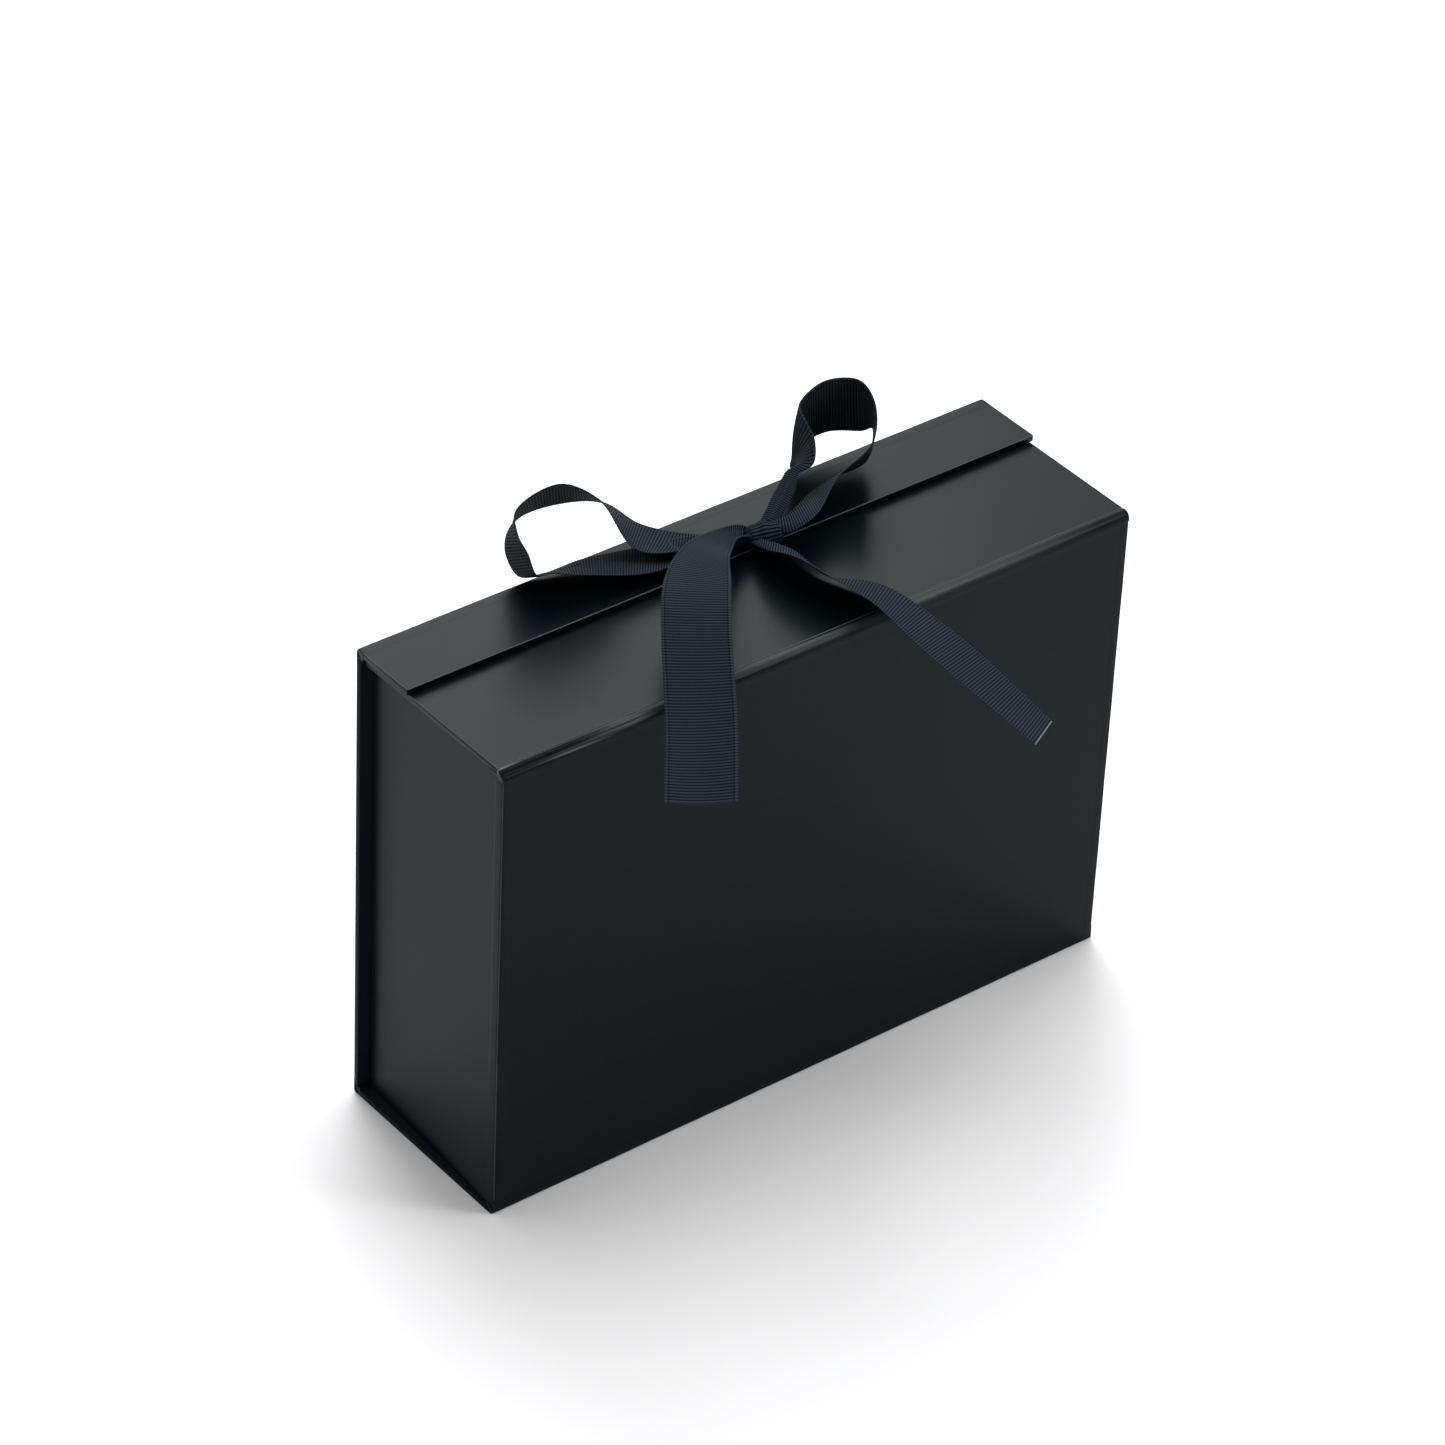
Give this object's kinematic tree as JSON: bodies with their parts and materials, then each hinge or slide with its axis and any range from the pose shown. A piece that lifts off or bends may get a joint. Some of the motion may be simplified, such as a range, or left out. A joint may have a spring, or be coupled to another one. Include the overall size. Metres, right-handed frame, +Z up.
{
  "type": "gift box",
  "caption": "Fold-flat rigid gift box standing on its spine, with a hinged lid, a magnetic flap and a tied grosgrain ribbon bow on the flap.",
  "frame": {"origin": "middle of the spine's underside, on the surface that the box stands on", "axes": "+X along the spine, +Y from the base panel to the lid, +Z up"},
  "size_m": [0.224, 0.1307, 0.1879],
  "materials": {
    "outer_wrap": "matte laminated",
    "lining_paper": "matte",
    "greyboard": "matte",
    "tape": "matte",
    "magnet": "nickel plated",
    "steel_plate": "plain",
    "ribbon": "ribbed grosgrain"
  },
  "bodies": {
    "tray": {"base_board": "greyboard", "base_wrap": "outer_wrap", "base_lining": "lining_paper", "front_wall_board": "greyboard", "front_wall_wrap": "outer_wrap", "front_wall_lining": "lining_paper", "spine_board": "greyboard", "spine_wrap": "outer_wrap", "spine_lining": "lining_paper", "left_wall_board": "greyboard", "left_wall_wrap": "outer_wrap", "left_wall_lining": "lining_paper", "right_wall_board": "greyboard", "right_wall_wrap": "outer_wrap", "right_wall_lining": "lining_paper", "base_front_fold": "outer_wrap", "base_spine_fold": "outer_wrap", "base_left_fold": "outer_wrap", "base_right_fold": "outer_wrap", "left_wall_tabs": "lining_paper", "right_wall_tabs": "lining_paper", "tab_tapes": "tape", "front_wall_plates": "steel_plate"},
    "lid": {"lid_board": "greyboard", "lid_wrap": "outer_wrap", "lid_lining": "lining_paper", "spine_lid_fold": "outer_wrap"},
    "flap": {"flap_board": "greyboard", "flap_wrap": "outer_wrap", "flap_lining": "lining_paper", "lid_flap_fold": "outer_wrap", "flap_magnets": "magnet", "ribbon_anchor": "ribbon", "bow_knot": "ribbon", "left_loop": "ribbon", "right_loop": "ribbon", "front_tail": "ribbon", "side_tail": "ribbon"}
  },
  "joints": [
    {"name": "lid_hinge", "type": "hinge", "parent": "tray", "child": "lid", "pos_m": [0, 0.03336, 0.00064], "axis": [-1, 0, 0], "range_deg": [0, 75], "deforming": ["spine_lid_fold"]},
    {"name": "flap_hinge", "type": "hinge", "parent": "lid", "child": "flap", "pos_m": [0, 0.03336, 0.15686], "axis": [-1, 0, 0], "range_deg": [0, 90], "deforming": ["lid_flap_fold"]}
  ]
}
